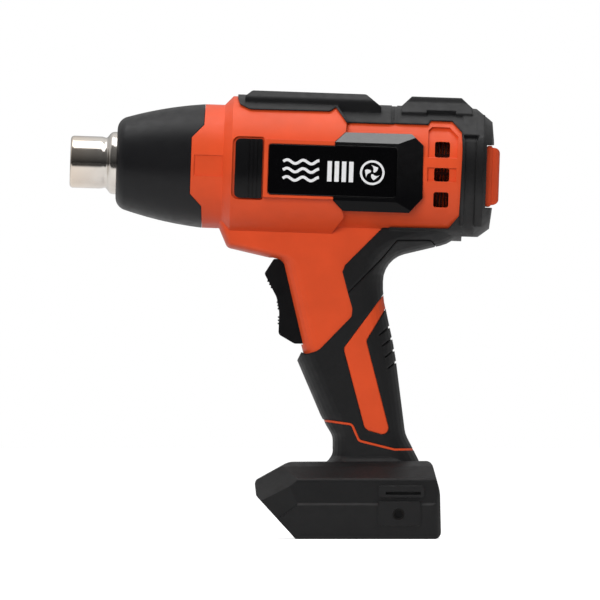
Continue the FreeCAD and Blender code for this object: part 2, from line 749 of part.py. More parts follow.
def make_foot_left(body):
    hull = foot_block()
    bosses = [left_half(boss.common(hull)).cut(battery_slot()) for boss in left_bosses(FOOT_SCREWS)]
    posts = [left_half(post) for post in board_posts()]
    return left_half(body).fuse(bosses + posts).cut(left_holes(FOOT_SCREWS)).removeSplitter()


def make_foot_right(body):
    hull = foot_block()
    bosses = [right_half(boss.common(hull)).cut(battery_slot()) for boss in right_bosses(FOOT_SCREWS)]
    posts = [right_half(post) for post in board_posts()]
    return right_half(body).fuse(bosses + posts).cut(right_holes(FOOT_SCREWS)).removeSplitter()


def make_hook_inserts():
    """Threaded inserts for a belt hook, one in each side of the foot."""
    insert = cross_rod(HOOK_INSERT_R, HOOK_INSERT, (-FOOT_BOSS_Y, -33))
    return both_sides(insert.cut(cross_rod(2.1, HOOK_INSERT, (-FAR, -30))))


# ---- Side plates, slider and rear pad -----------------------------------------------------------

def make_plate_frame():
    """Bevelled block behind the nameplate, left side."""
    outline = [
        (132.6, 13.9), (137.7, 18.9), (170.6, 19.1), (176.6, 13.6), (177.0, -12.8),
        (170.4, -20.3), (137.5, -20.3), (132.6, -15.3),
    ]
    block = prism(outline, -FRAME_FACE_Y, -20)
    top_bevel = [(-FRAME_FACE_Y, 13.9), (-32.6, 19.2), (-20, 36.8), (-60, 36.8), (-60, 13.9)]
    low_bevel = [(-FRAME_FACE_Y, -15.3), (-33.8, -20.4), (-20, -48), (-60, -48), (-60, -15.3)]
    rear_bevel = [(164, -FRAME_FACE_Y), (177, -32.7), (190, -29), (190, -60), (164, -60)]
    top = prism(top_bevel, 120, 190, "yz")
    low = prism(low_bevel, 120, 190, "yz")
    rear = prism(rear_bevel, -FAR, FAR, "xy")
    seat = prism(rectangle((120, 163.7), (-13.4, 12.1), 1.7), -FAR, -PLATE_SEAT_Y)
    block = block.cut([top, low, rear, seat])
    return largest_solids(tilted(block).cut(barrel_envelope()), 5)


def make_nameplate():
    outline = rectangle((99.7, 163.5), (-13.2, 11.9), 1.5)
    plate = prism(outline, -PLATE_FACE_Y, -PLATE_SEAT_Y)
    rim = [edge for edge in plate.Edges if abs(edge.BoundBox.YMax + PLATE_FACE_Y) < 1e-4]
    return tilted(plate.makeFillet(0.4, rim))


def make_mode_slider():
    """Ribbed slider cap with a stem through the housing wall."""
    outline = [(83.0, -15.4, 2.6), (96.6, -15.4, 0.8), (96.6, 14.2, 0.8), (83.0, 14.2, 2.6)]
    cap = ring_patch(outline, SLIDER_SEAT_R + 0.05, FRONT_R + 0.9)
    grooves = [box((u - 0.35, u + 0.35), (-45, -20), (-FAR, FAR)) for u in (90.2, 92.2, 94.2)]
    core = tube((80, 100), FRONT_R + 0.3)
    stem = box((88.2, 92.2), (-34, -28.1), (-2.2, 2.2))
    return tilted(cap.cut([groove.cut(core) for groove in grooves]).fuse(stem).removeSplitter())


def make_rear_pad():
    """Soft end pad: a flange and a rounded cap, with a stem into the housing's rear wall."""
    end = 214.98
    flange = prism(rectangle((208.4, 211.2), (-15.7, 14.7), 1.0), -20, 20)
    cap = prism([(209.5, -15.0), (end, -14.4, 2.8), (end, 13.4, 2.8), (209.5, 14.0)], -19, 19)
    ends = prism([
        (200, -20), (210.6, -20, 2.5), (end, -17.5, 4), (end, 17.5, 4), (210.6, 20, 2.5), (200, 20),
    ], -FAR, FAR, "xy")
    pad = flange.fuse(cap).common(ends).fuse(tube((203.5, 209), 4.1))
    return tilted(pad.removeSplitter())


# ---- Heater -------------------------------------------------------------------------------------

def make_heat_shield_tube():
    return tilted(tube((47, 108), TUBE_R, TUBE_R - 1.0))


def make_mica_liner():
    return tilted(tube((48, 104), 18.2, 17.6))


def make_heater_core():
    """Mica cross that carries the element."""
    plates = box((50, 104), (-13, 13), (-0.45, 0.45)).fuse(box((50, 104), (-0.45, 0.45), (-13, 13)))
    return tilted(plates.removeSplitter())


def make_heater_coil():
    """Flat resistance ribbon wound round the mica cross."""
    radius, half_thickness, half_width = 13.5, 0.4, 0.7
    inner, outer = radius - half_thickness, radius + half_thickness
    section = closed_wire(rectangle((inner, outer), (-half_width, half_width)), "xz", 0)
    element = coil(section, radius, 5.5, 44)
    element.translate(Vector(54, 0, 0))
    return tilted(element)


def make_heater_base():
    """Ceramic disc behind the element, pierced for the air and the element's tails."""
    disc = tube((104, 107), TUBE_R - 1.0)
    holes = []
    for k in range(8):
        angle = math.radians(45 * k)
        place = Vector(100, 12.5 * math.cos(angle), 12.5 * math.sin(angle))
        holes.append(Part.makeCylinder(3.6, 10, place, Vector(1, 0, 0)))
    return tilted(disc.cut(holes))


def make_thermal_fuse():
    body = Part.makeCylinder(1.7, 9, Vector(93, 5.2, -5.2), Vector(1, 0, 0))
    tail = Part.makeCylinder(0.5, 3, Vector(101, 5.2, -5.2), Vector(1, 0, 0))
    return tilted(body.fuse(tail).removeSplitter())


# ---- Blower and motor ---------------------------------------------------------------------------

def make_air_duct():
    """Duct that narrows from the blower to the heater, with a slot for the leads below."""
    neck = TUBE_R + DUCT_WALL
    duct = turned([
        (104, TUBE_R), (104, neck), (112, neck), (124, DUCT_R), (178, DUCT_R),
        (178, DUCT_R - DUCT_WALL), (124.6, DUCT_R - DUCT_WALL), (112.6, TUBE_R),
    ])
    lead_slot = box((3.5, 17), (-8.5, 8.5), (140, 172))
    return tilted(duct).cut(lead_slot)


def make_motor_can():
    can = tube((124, 158), MOTOR_R, MOTOR_R - 1.2)
    front = tube((124, 125.5), MOTOR_R - 1.2, 3.0)
    return tilted(can.fuse(front).removeSplitter())


def make_motor_end_cap():
    return tilted(tube((158, 160.5), MOTOR_R, 3.0))


def make_motor_magnets():
    ring = tube((130, 153), MOTOR_R - 1.2, 11.6)
    gap = box((120, 160), (-2.5, 2.5), (-FAR, FAR))
    return tilted(ring.cut(gap))


def make_motor_bushes():
    bushes = [tube(u, 3.0, SHAFT_R + BUSH_CLEARANCE) for u in ((123, 127.5), (157, 161.5))]
    return tilted(Part.makeCompound(bushes))


def make_motor_mount():
    """Ring round the motor with four vanes that hold it in the middle of the duct."""
    ring = tube((137, 149), MOTOR_R + 1.6, MOTOR_R)
    vane = box((137, 149), (-1, 1), (MOTOR_R + 1, 40))
    vanes = []
    for k in range(4):
        turned_vane = vane.copy()
        turned_vane.rotate(Vector(0, 0, 0), Vector(1, 0, 0), 45 + 90 * k)
        vanes.append(turned_vane)
    inside = tube((130, 160), DUCT_R - DUCT_WALL)
    return tilted(ring.fuse(vanes).common(inside).removeSplitter())


def make_motor_shaft():
    return tilted(tube((121.5, 177), SHAFT_R))


def make_armature():
    core = tube((131, 152), 10.8, SHAFT_R)
    slots = []
    for k in range(5):
        slot = box((130, 153), (-0.9, 0.9), (6.5, 12))
        slot.rotate(Vector(0, 0, 0), Vector(1, 0, 0), 72 * k)
        slots.append(slot)
    return tilted(core.cut(slots))


def make_impeller():
    """Axial fan: a hub on the shaft with seven twisted blades."""
    hub = tube((164.5, 175), 9.5)
    blade = box((-6.5, 6.5), (-0.7, 0.7), (8.5, 40))
    blade.rotate(Vector(0, 0, 0), Vector(0, 0, 1), 38)
    blade.translate(Vector(169.8, 0, 0))
    blades = []
    for k in range(7):
        turned_blade = blade.copy()
        turned_blade.rotate(Vector(0, 0, 0), Vector(1, 0, 0), 360 / 7 * k)
        blades.append(turned_blade)
    sweep = tube((164.6, 174.9), 28.3)
    fan = hub.fuse(blades).common(sweep.fuse(hub)).cut(tube((160, 180), SHAFT_R))
    return tilted(fan.removeSplitter())


def make_intake_screen():
    """Slotted dust screen behind the vent windows, left side."""
    patch = ring_patch(rectangle((180.5, 192.4), (-19.5, 18.5)), 28.6, 29.6)
    slots = [box((u, u + 0.9), (-FAR, -15), (-18, 17)) for u in [181.6 + 1.7 * k for k in range(6)]]
    bars = [box((180, 193), (-FAR, -15), (w - 0.6, w + 0.6)) for w in (-9, 0, 9)]
    return tilted(patch.cut([slot.cut(bars) for slot in slots]))


# ---- Switchgear and electrics -------------------------------------------------------------------

def trigger_outline():
    return [
        (-5.4, 139.7, 1.2), (-10.1, 132.4, 1.6), (-4.0, 120.5, 7), (-2.7, 113.0, 12), (-3.1, 102.0, 2.5),
        (4.9, 97.3, 3), (16.0, 97.3), (6.5, 139.7),
    ]


def make_trigger():
    """Trigger with ribbed front, a retaining flange behind the housing wall and a spring pocket."""
    half = TRIGGER_HALF
    body = prism(trigger_outline(), -half, half)
    rib_places = [
        (-8.2, 128.6), (-7.3, 127.0), (-6.5, 125.4), (-3.5, 118.0), (-3.2, 116.4), (-3.05, 114.8),
        (-2.9, 110.6), (-2.95, 109.0), (-3.0, 107.4),
    ]
    ribs = []
    for x, z in rib_places:
        ribs.append(box((x - 0.45, x + 2), (-half + 1.5, half - 1.5), (z - 0.4, z + 0.4)))
    rounded = prism([
        (-12, -half + 3.2), (-12, half - 3.2), (-4.0, half, 5), (30, half), (30, -half), (-4.0, -half, 5),
    ], 90, 150, "xy")
    flange = prism([(4.9, 138.0), (6.5, 138.0), (15.6, 99.0), (14.0, 99.0)], -11.6, 11.6)
    pocket = box((SPRING_SEAT_X, 30), (-5, 5), (PLUNGER_Z - 5, PLUNGER_Z + 5))
    return body.fuse(ribs).common(rounded).fuse(flange).cut(pocket).removeSplitter()


def make_switch_plunger():
    place = Vector(SPRING_SEAT_X, 0, PLUNGER_Z)
    return Part.makeCylinder(1.9, 27, place, Vector(1, 0, 0))


def make_trigger_spring():
    radius, pitch, wire = 3.2, 2.6, 0.45
    slope = pitch / (2 * math.pi * radius)
    section = Part.Wire(Part.Circle(Vector(radius, 0, 0), Vector(0, 1, slope), wire).toShape())
    spring = coil(section, radius, pitch, SWITCH_FACE_X - SPRING_SEAT_X - 1.3)
    spring.translate(Vector(SPRING_SEAT_X + 0.65, 0, PLUNGER_Z))
    return spring


def make_switch_body():
    body = box((SWITCH_FACE_X, 35.5), (-10, 10), (102, 131))
    bore = Part.makeCylinder(1.96, 13, Vector(SWITCH_FACE_X - 0.5, 0, PLUNGER_Z), Vector(1, 0, 0))
    flats = both_sides(box((SWITCH_FACE_X - 1, 40), (-12, -8.5), (108, 112)))
    ribs = both_sides(box((24, 30), (-13.1, -10), (120, 123)))
    return body.cut([bore, flats]).fuse(ribs).removeSplitter()


def make_mode_switch():
    body = box((84, 96), (-27.9, -22), (-4.5, 4.5)).fuse(box((79.8, 100.2), (-27, -25.6), (-4.5, 4.5)))
    return tilted(body.removeSplitter())


def make_control_board():
    return box((8, 38), (-19, 19), (24, 25.6))


def make_heatsink():
    """Finned block on the control board."""
    base = box((12, 34), (-13, 13), (25.6, 27.6))
    fins = [box((12, 34), (y, y + 1.2), (27.6, 34)) for y in (-13, -8.2, -3.4, 2.2, 7.0, 11.8)]
    return base.fuse(fins).removeSplitter()


def make_terminal_block():
    block = box((44, 64), (-13, 13), (7, FOOT_ROOM_Z)).fuse(box((42, 66), (-16, 16), (FOOT_ROOM_Z, 22)))
    grooves = [box((43, 60), (y - 1.4, y + 1.4), (6, 15)) for y in (-9, -3, 3, 9)]
    return block.cut(grooves).removeSplitter()


def make_battery_contacts():
    """Four blades standing in the terminal block's grooves."""
    blades = [box((46, 60), (y - 0.4, y + 0.4), (7.6, 15)) for y in (-9, -3, 3, 9)]
    return Part.makeCompound(blades)


def lead_pair(route, y, radius):
    """Two equal leads along an (x, z) route, one on each side of the middle."""
    return both_sides(wire_solid([(x, -y, z) for x, z in route], radius))


def make_battery_leads():
    """Pair of leads from the terminal block up through the handle to the switch."""
    route = [(50, 22), (50, 32), (43, 42), (38.5, 56), (38.5, 74), (36.5, 88), (32, 96), (32, 102)]
    return lead_pair(route, 3.0, 1.2)


def make_motor_leads():
    """Pair of leads from the switch to the front of the motor."""
    route = [(30, 131), (30, 140), (20, 149), (12.5, 157), (10.2, 166)]
    return lead_pair(route + [tilted_point(118.2, -10), tilted_point(124, -10)], 2.0, 0.9)


def make_heater_leads():
    """Pair of leads from the switch to the back of the heater's ceramic disc."""
    route = [(25, 131), (25, 140), (14, 149), (6.5, 157), (4.6, 164)]
    return lead_pair(route + [tilted_point(112, -11.5), tilted_point(107, -11.5)], 4.8, 0.9)


# ---- Assembly -----------------------------------------------------------------------------------

def build_parts():
    housing = housing_body()
    bumper = bumper_body()
    grip = grip_body()
    foot = foot_body()
    frame = make_plate_frame()
    plate = make_nameplate()
    screen = make_intake_screen()
    return {
        "housing_left": make_housing_left(housing),
        "housing_right": make_housing_right(housing),
        "top_rail": make_top_rail(),
        "bumper_left": make_left_skin(bumper),
        "bumper_right": make_right_skin(bumper),
        "grip_left": make_left_skin(grip),
        "grip_right": make_right_skin(grip),
        "front_shroud": make_front_shroud(),
        "nozzle": make_nozzle(),
        "foot_left": make_foot_left(foot),
        "foot_right": make_foot_right(foot),
        "hook_inserts": make_hook_inserts(),
        "plate_frame_left": frame,
        "plate_frame_right": mirrored(frame),
        "nameplate_left": plate,
        "nameplate_right": mirrored(plate),
        "rear_pad": make_rear_pad(),
        "housing_screws": make_housing_screws(),
        "mode_slider": make_mode_slider(),
        "mode_switch": make_mode_switch(),
        "heat_shield_tube": make_heat_shield_tube(),
        "mica_liner": make_mica_liner(),
        "heater_core": make_heater_core(),
        "heater_coil": make_heater_coil(),
        "heater_base": make_heater_base(),
        "thermal_fuse": make_thermal_fuse(),
        "air_duct": make_air_duct(),
        "motor_can": make_motor_can(),
        "motor_end_cap": make_motor_end_cap(),
        "motor_magnets": make_motor_magnets(),
        "motor_bushes": make_motor_bushes(),
        "motor_mount": make_motor_mount(),
        "motor_shaft": make_motor_shaft(),
        "armature": make_armature(),
        "impeller": make_impeller(),
        "intake_screen_left": screen,
        "intake_screen_right": mirrored(screen),
        "trigger": make_trigger(),
        "switch_plunger": make_switch_plunger(),
        "trigger_spring": make_trigger_spring(),
        "switch_body": make_switch_body(),
        "control_board": make_control_board(),
        "heatsink": make_heatsink(),
        "terminal_block": make_terminal_block(),
        "battery_contacts": make_battery_contacts(),
        "battery_leads": make_battery_leads(),
        "motor_leads": make_motor_leads(),
        "heater_leads": make_heater_leads(),
    }


def main():
    os.makedirs("parts", exist_ok=True)
    for name, shape in build_parts().items():
        shape.exportStep("parts/" + name + ".step")
        print(name, "valid" if shape.isValid() else "INVALID", len(shape.Solids), round(shape.Volume))


main()
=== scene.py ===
"""Cordless heat gun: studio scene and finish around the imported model.

Lengths are in metres, or in millimetres where a comment says so.  A place on the barrel is given as
u behind the nozzle's mouth and w above the barrel's axis.
"""
import json
import math

import bmesh
import bpy
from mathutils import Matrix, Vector


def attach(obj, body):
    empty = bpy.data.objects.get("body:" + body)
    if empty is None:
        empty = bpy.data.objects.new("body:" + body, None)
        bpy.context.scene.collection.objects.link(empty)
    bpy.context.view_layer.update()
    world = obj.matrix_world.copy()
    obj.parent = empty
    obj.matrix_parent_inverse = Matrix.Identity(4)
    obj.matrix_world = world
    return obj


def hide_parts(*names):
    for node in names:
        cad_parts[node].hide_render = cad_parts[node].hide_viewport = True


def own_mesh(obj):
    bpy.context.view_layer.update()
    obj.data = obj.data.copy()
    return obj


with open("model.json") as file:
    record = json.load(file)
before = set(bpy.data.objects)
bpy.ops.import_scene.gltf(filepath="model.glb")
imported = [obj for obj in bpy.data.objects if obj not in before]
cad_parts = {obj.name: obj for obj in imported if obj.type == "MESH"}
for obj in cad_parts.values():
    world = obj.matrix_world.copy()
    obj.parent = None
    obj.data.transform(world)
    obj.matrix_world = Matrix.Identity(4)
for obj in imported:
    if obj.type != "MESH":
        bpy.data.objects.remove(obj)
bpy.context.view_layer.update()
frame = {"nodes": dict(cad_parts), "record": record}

MM = 0.001


# ---- Places taken from the frame ----------------------------------------------------------------

def joint_named(name):
    """A joint's row in the record."""
    return next(j for j in frame["record"]["behaviour"]["joints"] if j["name"] == name)


FAN = joint_named("fan_spin")
AXIS = Vector(FAN["axis"]).normalized()
UP = Vector((-AXIS.z, 0, AXIS.x))
FAN_STATION = 170 * MM    # from the nozzle's mouth back to the fan joint's place
MOUTH = Vector(FAN["pos_m"]) - AXIS * FAN_STATION


def barrel_point(u, w, y):
    """Point u behind the nozzle's mouth, w above the barrel's axis and y to the side, in millimetres."""
    return MOUTH + AXIS * (u * MM) + UP * (w * MM) + Vector((0, y * MM, 0))


# ---- Node building blocks -----------------------------------------------------------------------

class Nodes:
    """A node tree with short helpers.  Inputs are named by key, with underscores for spaces."""

    def __init__(self, tree):
        self.tree = tree

    def link(self, source, target):
        """Wire a socket to an input, or set the input to a plain value."""
        if hasattr(source, "is_output"):
            self.tree.links.new(source, target)
        elif isinstance(source, tuple) and target.type == "RGBA":
            target.default_value = (*source, 1)
        else:
            target.default_value = source

    def node(self, kind, **inputs):
        made = self.tree.nodes.new("ShaderNode" + kind)
        for key, value in inputs.items():
            self.link(value, made.inputs[key.replace("_", " ")])
        return made

    def math(self, operation, a, b=0.0):
        made = self.node("Math")
        made.operation = operation
        self.link(a, made.inputs[0])
        self.link(b, made.inputs[1])
        return made.outputs[0]

    def spread(self, value, low, high, source=(0.3, 0.7)):
        """Carry a value from the source range to low..high, clamped."""
        return self.node("MapRange", Value=value, From_Min=source[0], From_Max=source[1],
                         To_Min=low, To_Max=high).outputs["Result"]

    def mix(self, factor, a, b, kind="RGBA"):
        """a at factor 0 and b at factor 1: colours, or plain values with kind FLOAT."""
        made = self.node("Mix")
        made.data_type = kind
        for source, key in ((factor, "Factor"), (a, "A"), (b, "B")):
            self.link(source, made.inputs[key])
        return made.outputs["Result"]


class Finish(Nodes):
    """A material around the Principled shader, with helpers for what most finishes share."""

    def __init__(self, name):
        self.name = name
        self.material = bpy.data.materials.new(name)
        self.material.use_nodes = True
        super().__init__(self.material.node_tree)
        self.shader = self.tree.nodes["Principled BSDF"]
        self.place = self.node("TexCoord").outputs["Object"]

    def set(self, **inputs):
        for key, value in inputs.items():
            self.link(value, self.shader.inputs[key.replace("_", " ")])

    def noise(self, scale, detail=2.0, stretch=(1, 1, 1)):
        """Noise value; scale is the number of blotches in a metre."""
        moved = self.node("Mapping", Vector=self.place, Scale=stretch).outputs["Vector"]
        return self.node("TexNoise", Vector=moved, Scale=scale, Detail=detail).outputs["Fac"]

    def axis_value(self, axis):
        return self.node("SeparateXYZ", Vector=self.place).outputs[axis]

    def rounded(self, radius):
        """Normal whose sharp edges look rounded to a radius."""
        made = self.node("Bevel", Radius=radius)
        made.samples = 4
        return made.outputs["Normal"]

    def edges(self, soft_normal):
        """0 on flat faces, towards 1 on sharp edges."""
        product = self.node("VectorMath")
        product.operation = "DOT_PRODUCT"
        self.link(soft_normal, product.inputs[0])
        self.link(self.node("NewGeometry").outputs["Normal"], product.inputs[1])
        return self.spread(product.outputs["Value"], 1.0, 0.0, (0.75, 0.985))

    def bump(self, height, depth, normal=None):
        made = self.node("Bump", Height=height, Distance=depth, Strength=1.0)
        if normal is not None:
            self.link(normal, made.inputs["Normal"])
        return made.outputs["Normal"]


# ---- Kinds of material --------------------------------------------------------------------------

ORANGE = (0.76, 0.083, 0.021)
SOFT_ORANGE = (0.75, 0.078, 0.020)
RUBBER_BLACK = (0.0075, 0.0075, 0.008)
SHROUD_BLACK = (0.0085, 0.0085, 0.0095)
FOOT_BLACK = (0.0095, 0.0095, 0.010)
CONTROL_BLACK = (0.004, 0.004, 0.0045)
FRAME_BLACK = (0.0035, 0.0035, 0.004)
PLATE_BLACK = (0.0012, 0.0012, 0.0016)

SEAM_HALF = 0.14 * MM
MOTTLE, RUBBING, POLISH = 55, 160, 240    # blotches in a metre of colour, edge wear and gloss


def tinted(colour, gain, lift=0.0):
    """The colour made brighter or darker, and lifted towards white."""
    return tuple(min(1, c * gain + lift) for c in colour)


def moulded(name, colour, roughness, grain=900, grain_depth=0.03, edge=0.5, wear=0.25, seam=False,
            specular=0.5):
    """Injection-moulded plastic: spark-eroded grain, slight mottling, paler edges.

    grain is in bumps to the metre; its depth and the edge's radius are in millimetres.
    """
    f = Finish(name)
    soft = f.rounded(edge * MM)
    mottle = f.spread(f.noise(MOTTLE, 4), 0.0, 1.0)
    shade = f.mix(mottle, tinted(colour, 0.93), tinted(colour, 1.06))
    rubbed = f.math("MULTIPLY", f.edges(soft), f.spread(f.noise(RUBBING, 3), 0.2, wear * 2))
    shade = f.mix(rubbed, shade, tinted(colour, 1.25, 0.012))
    if seam:
        line = f.math("LESS_THAN", f.math("ABSOLUTE", f.axis_value("Y")), SEAM_HALF)
        shade = f.mix(line, shade, tinted(colour, 0.35))
    f.set(Base_Color=shade, Normal=f.bump(f.noise(grain, 1), grain_depth * MM, soft))
    f.set(Roughness=f.spread(f.noise(POLISH, 3), roughness - 0.05, roughness + 0.07))
    f.set(Specular_IOR_Level=specular)
    return f


def rubbery(name, colour, roughness=0.62, edge=0.45):
    """Soft-touch overmould: fine pebble grain and a faint dusty sheen."""
    f = moulded(name, colour, roughness, grain=700, grain_depth=0.05, edge=edge, wear=0.18, specular=0.4)
    f.set(Sheen_Weight=0.02, Sheen_Roughness=0.5, Sheen_Tint=(0.8, 0.8, 0.82))
    return f


def metal(name, colour, roughness, stretch=(1, 1, 1)):
    """Bare metal with fine scratches, which run along the axes that stretch leaves at 1."""
    f = Finish(name)
    scratches = f.noise(900, 2, stretch)
    f.set(Base_Color=f.mix(f.spread(f.noise(90, 3), 0, 1), tinted(colour, 0.9), colour))
    f.set(Metallic=1.0, Roughness=f.spread(scratches, roughness * 0.8, roughness * 1.3))
    f.set(Normal=f.bump(scratches, 0.004 * MM, f.rounded(0.2 * MM)))
    return f


def nozzle_finish():
    """Polished stainless steel, warmed to straw by the heat near its mouth."""
    f = Finish("nozzle_steel")
    heated = 16 * MM
    heat = f.spread(f.axis_value("X"), 1.0, 0.0, (MOUTH.x, MOUTH.x + heated))
    steel = f.mix(f.spread(f.noise(140, 3), 0, 1), (0.66, 0.61, 0.56), (0.74, 0.70, 0.65))
    straw = (0.76, 0.66, 0.56)
    lines = f.noise(60, 2, (60, 1, 1))
    f.set(Base_Color=f.mix(heat, steel, straw), Metallic=1.0)
    f.set(Roughness=f.spread(lines, 0.10, 0.17), Normal=f.bump(lines, 0.0015 * MM))
    return f


def plate_finish():
    """Deep gloss plate."""
    f = Finish("plate_gloss")
    f.set(Base_Color=PLATE_BLACK, Coat_Weight=0.3, Coat_Roughness=0.04)
    f.set(Roughness=f.spread(f.noise(180, 3), 0.08, 0.16), Normal=f.rounded(0.3 * MM))
    f.set(Specular_IOR_Level=0.3)
    return f


def frame_finish():
    """Black plastic moulded against a polished tool, duller towards the block's lower edge."""
    f = moulded("frame_plastic", FRAME_BLACK, 0.17, grain=1200, grain_depth=0.002, edge=0.4, wear=0.1)
    middle, lower, upper = 135, -14, 8
    dull, glossy = barrel_point(middle, lower, 0).z, barrel_point(middle, upper, 0).z
    height = f.axis_value("Z")
    f.set(Specular_IOR_Level=f.spread(height, 0.12, 1.0, (dull, glossy)))
    f.set(Coat_Weight=f.spread(height, 0.0, 0.8, (dull, glossy)), Coat_Roughness=0.2)
    return f


def print_finish():
    """White screen print."""
    f = Finish("white_print")
    speckle = f.spread(f.noise(2200, 2), 0.0, 1.0, (0.25, 0.4))
    f.set(Base_Color=f.mix(speckle, (0.55, 0.55, 0.56), (0.86, 0.86, 0.87)), Roughness=0.35)
    return f


# ---- Finishes, one for each material slot -------------------------------------------------------

def outside_finishes():
    return [
        moulded("orange_shell", ORANGE, 0.42, grain=1300, grain_depth=0.012, wear=0.2, seam=True,
                specular=0.35),
        rubbery("orange_soft", SOFT_ORANGE, 0.6),
        rubbery("overmould", RUBBER_BLACK, 0.5, edge=1.4),
        moulded("shroud_plastic", SHROUD_BLACK, 0.4, grain_depth=0.02, wear=0.1, specular=0.25),
        moulded("foot_plastic", FOOT_BLACK, 0.46, grain=800, grain_depth=0.04, edge=0.8, wear=0.15,
                seam=True, specular=0.4),
        plate_finish(),
        frame_finish(),
        moulded("slider_plastic", CONTROL_BLACK, 0.34, grain=1000, grain_depth=0.02, edge=0.35, wear=0.2,
                specular=0.2),
        moulded("trigger_plastic", CONTROL_BLACK, 0.42, grain=1000, grain_depth=0.02, edge=0.6, wear=0.2,
                specular=0.2),
        nozzle_finish(),
        metal("insert_steel", (0.035, 0.034, 0.033), 0.45),
        metal("screw_steel", (0.2, 0.2, 0.21), 0.38),
        moulded("screen_mesh", (0.012, 0.0015, 0.001), 0.7, grain_depth=0.02, edge=0.2, specular=0.1),
        print_finish(),
    ]


def heater_finishes():
    return [
        metal("tube_steel", (0.55, 0.52, 0.48), 0.32, (1, 12, 12)),
        moulded("mica", (0.5, 0.42, 0.3), 0.5, grain=400),
        metal("nichrome", (0.32, 0.28, 0.26), 0.5),
        moulded("ceramic", (0.78, 0.75, 0.68), 0.6, grain=700),
        metal("fuse_metal", (0.7, 0.7, 0.7), 0.25),
    ]


def motor_finishes():
    return [
        moulded("duct_plastic", (0.05, 0.05, 0.052), 0.5),
        metal("motor_steel", (0.6, 0.6, 0.62), 0.3, (1, 8, 8)),
        moulded("magnet_ferrite", (0.05, 0.05, 0.055), 0.6),
        metal("armature_steel", (0.36, 0.32, 0.3), 0.4, (20, 1, 1)),
        metal("bush_bronze", (0.5, 0.34, 0.2), 0.4),
        moulded("fan_plastic", (0.03, 0.03, 0.033), 0.4),
    ]


def electric_finishes():
    return [
        moulded("plunger_plastic", (0.03, 0.03, 0.032), 0.45),
        metal("spring_steel", (0.6, 0.6, 0.6), 0.25),
        moulded("board_green", (0.02, 0.12, 0.05), 0.3),
        metal("heatsink_aluminium", (0.75, 0.75, 0.76), 0.35, (1, 20, 20)),
        moulded("terminal_plastic", (0.03, 0.03, 0.03), 0.5),
        metal("contact_brass", (0.75, 0.58, 0.3), 0.3),
        rubbery("lead_red", (0.5, 0.03, 0.025)),
        rubbery("lead_black", (0.02, 0.02, 0.02)),
        rubbery("lead_white", (0.75, 0.72, 0.65)),
    ]


def all_finishes():
    """Materials by the name of their slot in the record."""
    made = outside_finishes() + heater_finishes() + motor_finishes() + electric_finishes()
    return {finish.name: finish.material for finish in made}


FINISHES = all_finishes()


def dress_cad_nodes():
    """Give each CAD piece the finish of its slot."""
    for subpart in frame["record"]["subparts"]:
        piece = frame["nodes"][subpart["node"]]
        finish = FINISHES[subpart["material_slot"]]
        if not piece.material_slots:
            piece.data.materials.append(finish)
        for slot in piece.material_slots:
            slot.material = finish


# ---- Mesh building blocks -----------------------------------------------------------------------

def make_object(name, mesh, body, finish):
    """Object that rides a body, with the finish of the given name."""
    piece = bpy.data.objects.new(name, mesh)
    bpy.context.scene.collection.objects.link(piece)
    piece.data.materials.append(FINISHES[finish])
    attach(piece, body)
    return piece


def mesh_from(name, shape):
    mesh = bpy.data.meshes.new(name)
    shape.to_mesh(mesh)
    shape.free()
    return mesh


def round_mesh(name, shape):
    """Mesh of a closed shape built from quads: facing outwards, and smooth apart from its end caps."""
    bmesh.ops.recalc_face_normals(shape, faces=shape.faces)
    mesh = mesh_from(name, shape)
    for polygon in mesh.polygons:
        polygon.use_smooth = len(polygon.vertices) == 4
    return mesh


def around(count):
    """Cosine and sine at equal steps round a circle."""
    angles = [2 * math.pi * k / count for k in range(count)]
    return [(math.cos(angle), math.sin(angle)) for angle in angles]


def bridge(shape, first, second):
    """Quads between two closed rings of vertices."""
    for k in range(len(first)):
        n = (k + 1) % len(first)
        shape.faces.new((first[k], first[n], second[n], second[k]))


def strip(shape, first, second):
    """Quads between two open rows of vertices."""
    for a, b, c, d in zip(first, first[1:], second[1:], second):
        shape.faces.new((a, b, c, d))


def polar(centre, radius, degrees):
    """Point at a radius and an angle from a centre."""
    angle = math.radians(degrees)
    return (centre[0] + radius * math.cos(angle), centre[1] + radius * math.sin(angle))


def arc_points(centre, radius, first, last, count):
    """Points on an arc between two angles in degrees."""
    return [polar(centre, radius, first + (last - first) * k / count) for k in range(count + 1)]


# ---- Nozzle -------------------------------------------------------------------------------------

def lathe(name, profile, segments=192):
    """Mesh turned about the barrel's axis from a closed (u, r) profile in millimetres."""
    shape = bmesh.new()
    rings = []
    for u, r in profile:
        rings.append([shape.verts.new(barrel_point(u, r * c, r * s)) for c, s in around(segments)])
    for first, second in zip(rings, rings[1:] + rings[:1]):
        bridge(shape, first, second)
    return round_mesh(name, shape)


